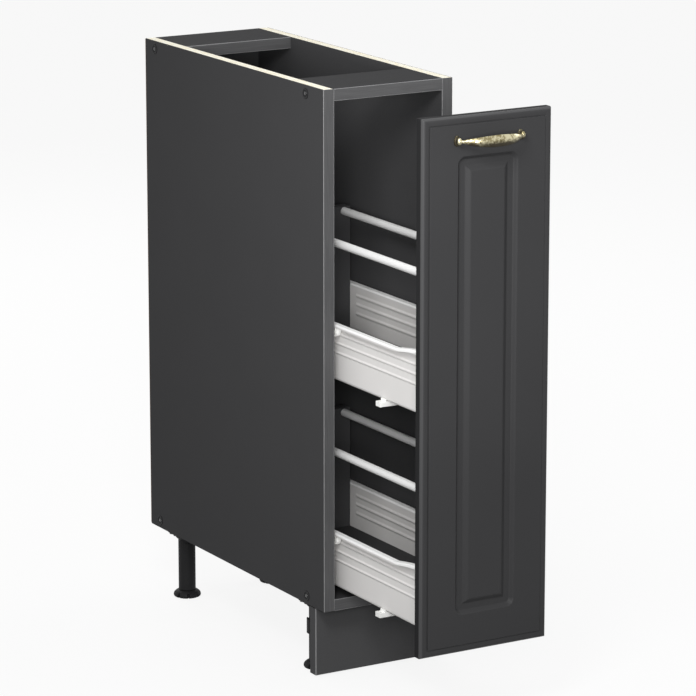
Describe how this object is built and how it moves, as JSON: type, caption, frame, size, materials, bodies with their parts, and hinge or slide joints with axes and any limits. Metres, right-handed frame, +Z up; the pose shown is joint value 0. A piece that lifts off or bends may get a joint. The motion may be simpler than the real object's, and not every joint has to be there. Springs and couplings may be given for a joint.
{
  "type": "pull-out pantry cabinet",
  "caption": "Narrow kitchen base cabinet with a sliding panelled front that carries steel-sided trays with rails for bottles, on adjustable legs behind a plinth.",
  "frame": {"origin": "on the floor, in the middle of the cabinet as it stands with the pull-out partly open", "axes": "+Z up, +X to the right of someone who faces the cabinet's front, +Y from the front to the wall"},
  "size_m": [0.2028, 0.787, 0.82],
  "materials": {
    "graphite_board": "matt laminate",
    "edge_band": "satin",
    "hardboard": "matt",
    "door_film": "matt film",
    "antique_brass": "aged",
    "white_steel": "satin paint",
    "white_nylon": "matt",
    "zinc_steel": "zinc plated",
    "black_plastic": "matt",
    "grey_plastic": "matt"
  },
  "bodies": {
    "carcass": {"left_side_board": "graphite_board", "right_side_board": "graphite_board", "bottom_board": "graphite_board", "front_stretcher": "graphite_board", "rear_stretcher": "graphite_board", "back_sheet": "hardboard", "side_edge_bands": "edge_band", "cross_edge_bands": "edge_band", "confirmat_screws": "zinc_steel", "screw_caps": "grey_plastic", "back_nails": "zinc_steel", "leg_sockets": "black_plastic", "leg_screws": "zinc_steel", "plinth": "graphite_board", "left_plinth_clip": "black_plastic", "right_plinth_clip": "black_plastic", "plinth_screws": "zinc_steel", "runner_screws": "zinc_steel", "front_roller_pins": "zinc_steel", "front_left_leg_tube": "black_plastic", "front_right_leg_tube": "black_plastic", "rear_left_leg_tube": "black_plastic", "rear_right_leg_tube": "black_plastic", "lower_left_runner": "white_steel", "lower_right_runner": "white_steel", "upper_left_runner": "white_steel", "upper_right_runner": "white_steel"},
    "pull_out": {"door": "door_film", "handle": "antique_brass", "handle_screws": "zinc_steel", "front_brackets": "white_steel", "bracket_screws": "zinc_steel", "rail_spigots": "zinc_steel", "rear_roller_pins": "zinc_steel", "lower_tray_bottom": "graphite_board", "lower_tray_back": "graphite_board", "lower_tray_screws": "zinc_steel", "lower_bottom_bar": "white_nylon", "lower_left_tray_side": "white_steel", "lower_left_rail": "white_steel", "lower_right_tray_side": "white_steel", "lower_right_rail": "white_steel", "upper_tray_bottom": "graphite_board", "upper_tray_back": "graphite_board", "upper_tray_screws": "zinc_steel", "upper_bottom_bar": "white_nylon", "upper_left_tray_side": "white_steel", "upper_left_rail": "white_steel", "upper_right_tray_side": "white_steel", "upper_right_rail": "white_steel"},
    "lower_front_rollers": {"lower_front_rollers": "white_nylon"},
    "lower_rear_rollers": {"lower_rear_rollers": "white_nylon"},
    "upper_front_rollers": {"upper_front_rollers": "white_nylon"},
    "upper_rear_rollers": {"upper_rear_rollers": "white_nylon"},
    "front_left_leg_foot": {"front_left_leg_foot": "black_plastic"},
    "front_right_leg_foot": {"front_right_leg_foot": "black_plastic"},
    "rear_left_leg_foot": {"rear_left_leg_foot": "black_plastic"},
    "rear_right_leg_foot": {"rear_right_leg_foot": "black_plastic"}
  },
  "joints": [
    {"name": "pull_out_slide", "type": "slide", "parent": "carcass", "child": "pull_out", "axis": [0, -1, 0], "range_m": [-0.23, 0.108]},
    {"name": "lower_front_roller_spin", "type": "hinge", "parent": "carcass", "child": "lower_front_rollers", "pos_m": [0, -0.1055, 0.1985], "axis": [1, 0, 0], "range_deg": [-1700, 800]},
    {"name": "lower_rear_roller_spin", "type": "hinge", "parent": "pull_out", "child": "lower_rear_rollers", "pos_m": [0, 0.1095, 0.1918], "axis": [1, 0, 0], "range_deg": [-830, 1740]},
    {"name": "upper_front_roller_spin", "type": "hinge", "parent": "carcass", "child": "upper_front_rollers", "pos_m": [0, -0.1055, 0.4895], "axis": [1, 0, 0], "range_deg": [-1700, 800]},
    {"name": "upper_rear_roller_spin", "type": "hinge", "parent": "pull_out", "child": "upper_rear_rollers", "pos_m": [0, 0.1095, 0.4828], "axis": [1, 0, 0], "range_deg": [-830, 1740]},
    {"name": "front_left_foot_screw", "type": "slide", "parent": "carcass", "child": "front_left_leg_foot", "axis": [0, 0, -1], "range_m": [0, 0.02]},
    {"name": "front_right_foot_screw", "type": "slide", "parent": "carcass", "child": "front_right_leg_foot", "axis": [0, 0, -1], "range_m": [0, 0.02]},
    {"name": "rear_left_foot_screw", "type": "slide", "parent": "carcass", "child": "rear_left_leg_foot", "axis": [0, 0, -1], "range_m": [0, 0.02]},
    {"name": "rear_right_foot_screw", "type": "slide", "parent": "carcass", "child": "rear_right_leg_foot", "axis": [0, 0, -1], "range_m": [0, 0.02]}
  ],
  "couplings": [
    {"joint": "lower_front_roller_spin", "follows": "pull_out_slide", "rad_per_m": 125},
    {"joint": "lower_rear_roller_spin", "follows": "pull_out_slide", "rad_per_m": -129.87},
    {"joint": "upper_front_roller_spin", "follows": "pull_out_slide", "rad_per_m": 125},
    {"joint": "upper_rear_roller_spin", "follows": "pull_out_slide", "rad_per_m": -129.87}
  ]
}
